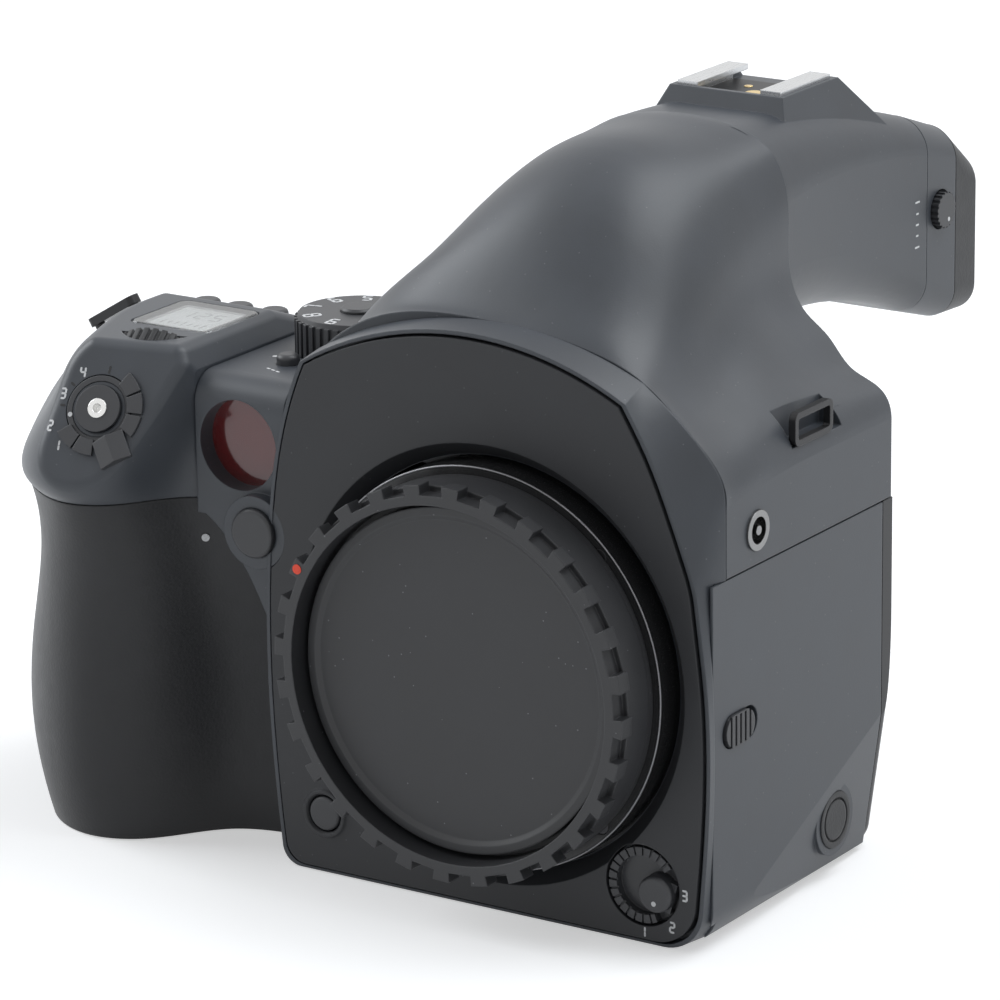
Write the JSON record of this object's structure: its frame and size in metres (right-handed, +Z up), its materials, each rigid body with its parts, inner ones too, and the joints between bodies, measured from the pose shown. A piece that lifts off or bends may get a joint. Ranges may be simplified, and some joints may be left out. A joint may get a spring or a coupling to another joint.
{
  "type": "medium format camera body",
  "caption": "Medium format single lens reflex camera body with a grip, a finder tube, a toothed body cap, dials and buttons that move.",
  "frame": {"origin": "the mouth of the large tripod socket, in the middle of the flat base", "axes": "+Z up, -Y the way the lens looks, +X to the right of someone who faces the lens"},
  "size_m": [0.1543, 0.1469, 0.1268],
  "materials": {
    "body_black": "satin",
    "plate_black": "matt",
    "grip_rubber": "matt",
    "cap_black": "satin",
    "button_black": "satin",
    "black_metal": "satin",
    "mount_steel": "polished",
    "shoe_steel": "satin",
    "screw_steel": "satin",
    "chrome": "polished",
    "gold": "polished",
    "clear_glass": "polished",
    "red_glass": "polished",
    "prism_glass": "polished",
    "display": "gloss",
    "mirror": "polished",
    "aluminium": "satin",
    "board_green": "gloss",
    "cell": "gloss"
  },
  "bodies": {
    "body": {"front_plate": "plate_black", "front_frame": "body_black", "prism_housing": "body_black", "side_cover": "body_black", "base_plate": "plate_black", "rear_frame": "black_metal", "grip_shell": "grip_rubber", "grip_head": "body_black", "mirror_box": "black_metal", "mount_ring": "mount_steel", "mount_screws": "screw_steel", "mount_contacts": "gold", "af_window": "red_glass", "lcd_window": "clear_glass", "lcd_panel": "display", "hot_shoe": "shoe_steel", "shoe_contacts": "gold", "pc_socket": "chrome", "left_strap_lug": "black_metal", "right_strap_lug": "black_metal", "eyepiece_housing": "body_black", "eyecup": "grip_rubber", "eyepiece_lens": "clear_glass", "pentaprism": "prism_glass", "focusing_screen": "clear_glass", "af_module": "black_metal", "main_board": "board_green", "drive_motor": "aluminium", "battery_holder": "button_black", "batteries": "cell", "tripod_bush": "screw_steel", "base_screws": "screw_steel", "shutter_frame": "black_metal", "back_contacts": "gold"},
    "cap": {"body_cap": "cap_black"},
    "lock_pin": {"lens_lock_pin": "screw_steel"},
    "release": {"lens_release_button": "button_black"},
    "preview": {"dof_button": "button_black"},
    "front_key": {"front_button": "button_black"},
    "focus_lever": {"focus_mode_lever": "button_black"},
    "shutter": {"shutter_button": "button_black", "release_bush": "chrome"},
    "drive_lever": {"drive_lever": "button_black"},
    "front_dial": {"front_dial": "grip_rubber"},
    "rear_dial": {"rear_dial": "grip_rubber"},
    "mode_dial": {"mode_dial": "button_black"},
    "mode_lock": {"mode_dial_lock": "button_black"},
    "top_front_key": {"top_front_button": "button_black"},
    "top_key_1": {"top_button_1": "button_black"},
    "top_key_2": {"top_button_2": "button_black"},
    "top_key_3": {"top_button_3": "button_black"},
    "diopter": {"diopter_dial": "button_black"},
    "remote_cap": {"remote_socket_cap": "grip_rubber"},
    "mirror": {"mirror_carrier": "black_metal", "reflex_mirror": "mirror"},
    "sub_mirror": {"sub_mirror": "aluminium"},
    "battery_door": {"battery_door": "plate_black"},
    "blade_1": {"shutter_blade_1": "aluminium"},
    "blade_2": {"shutter_blade_2": "aluminium"},
    "blade_3": {"shutter_blade_3": "aluminium"}
  },
  "joints": [
    {"name": "cap_twist", "type": "hinge", "parent": "body", "child": "cap", "pos_m": [0, -0.035, 0.0431], "axis": [0, -1, 0], "range_deg": [0, 60]},
    {"name": "release_slide", "type": "slide", "parent": "body", "child": "release", "axis": [0, 1, 0], "range_m": [0, 0.0012], "stiffness_N_per_m": 300},
    {"name": "lock_pin_slide", "type": "slide", "parent": "body", "child": "lock_pin", "axis": [0, 1, 0], "range_m": [0, 0.0012]},
    {"name": "preview_press", "type": "slide", "parent": "body", "child": "preview", "axis": [0, 1, 0], "range_m": [0, 0.0007], "stiffness_N_per_m": 300},
    {"name": "front_key_press", "type": "slide", "parent": "body", "child": "front_key", "axis": [0, 1, 0], "range_m": [0, 0.0008], "stiffness_N_per_m": 300},
    {"name": "focus_lever_turn", "type": "hinge", "parent": "body", "child": "focus_lever", "pos_m": [0.0299, -0.03, 0.0102], "axis": [0, -1, 0], "range_deg": [-35, 35]},
    {"name": "shutter_press", "type": "slide", "parent": "body", "child": "shutter", "axis": [-0.1836, 0.8637, -0.4695], "range_m": [0, 0.0012], "stiffness_N_per_m": 300},
    {"name": "drive_lever_turn", "type": "hinge", "parent": "body", "child": "drive_lever", "pos_m": [-0.075, -0.0355, 0.0778], "axis": [0.1836, -0.8637, 0.4695], "range_deg": [-30, 60]},
    {"name": "front_dial_turn", "type": "hinge", "parent": "body", "child": "front_dial", "pos_m": [-0.0726, -0.0212, 0.0804], "axis": [0.1811, -0.8522, -0.4909], "continuous": true},
    {"name": "rear_dial_turn", "type": "hinge", "parent": "body", "child": "rear_dial", "pos_m": [-0.073, 0.0192, 0.0755], "axis": [0, 0, 1], "continuous": true},
    {"name": "mode_dial_turn", "type": "hinge", "parent": "body", "child": "mode_dial", "pos_m": [-0.0456, 0, 0.0875], "axis": [0, 0, 1], "continuous": true},
    {"name": "mode_lock_press", "type": "slide", "parent": "mode_dial", "child": "mode_lock", "axis": [0, 0, -1], "range_m": [0, 0.0009], "stiffness_N_per_m": 300},
    {"name": "top_front_press", "type": "slide", "parent": "body", "child": "top_front_key", "axis": [0, 0, -1], "range_m": [0, 0.0008], "stiffness_N_per_m": 300},
    {"name": "top_press_1", "type": "slide", "parent": "body", "child": "top_key_1", "axis": [0, 0, -1], "range_m": [0, 0.0008], "stiffness_N_per_m": 300},
    {"name": "top_press_2", "type": "slide", "parent": "body", "child": "top_key_2", "axis": [0, 0, -1], "range_m": [0, 0.0008], "stiffness_N_per_m": 300},
    {"name": "top_press_3", "type": "slide", "parent": "body", "child": "top_key_3", "axis": [0, 0, -1], "range_m": [0, 0.0008], "stiffness_N_per_m": 300},
    {"name": "diopter_turn", "type": "hinge", "parent": "body", "child": "diopter", "pos_m": [0.0192, 0.089, 0.098], "axis": [1, 0, 0], "range_deg": [-60, 60]},
    {"name": "remote_cap_turn", "type": "hinge", "parent": "body", "child": "remote_cap", "pos_m": [0.0403, 0.0135, 0.0103], "axis": [1, 0, 0], "range_deg": [0, 90]},
    {"name": "mirror_swing", "type": "hinge", "parent": "body", "child": "mirror", "pos_m": [0, 0.02, 0.066], "axis": [-1, 0, 0], "range_deg": [0, 45], "stiffness_Nm_per_rad": 0.01},
    {"name": "sub_mirror_swing", "type": "hinge", "parent": "mirror", "child": "sub_mirror", "pos_m": [0, 0.00515, 0.04691], "axis": [1, 0, 0], "range_deg": [0, 90]},
    {"name": "battery_door_swing", "type": "hinge", "parent": "body", "child": "battery_door", "pos_m": [-0.065, 0.003, 0.0013], "axis": [0, -1, 0], "range_deg": [0, 100]},
    {"name": "blade_1_fall", "type": "slide", "parent": "body", "child": "blade_1", "axis": [0, 0, -1], "range_m": [0, 0.0445]},
    {"name": "blade_2_fall", "type": "slide", "parent": "body", "child": "blade_2", "axis": [0, 0, -1], "range_m": [0, 0.0306]},
    {"name": "blade_3_fall", "type": "slide", "parent": "body", "child": "blade_3", "axis": [0, 0, -1], "range_m": [0, 0.0166]}
  ],
  "couplings": [
    {"joint": "lock_pin_slide", "follows": "release_slide", "ratio": 1},
    {"joint": "sub_mirror_swing", "follows": "mirror_swing", "ratio": 2},
    {"joint": "blade_2_fall", "follows": "blade_1_fall", "ratio": 0.68539},
    {"joint": "blade_3_fall", "follows": "blade_1_fall", "ratio": 0.37079}
  ]
}
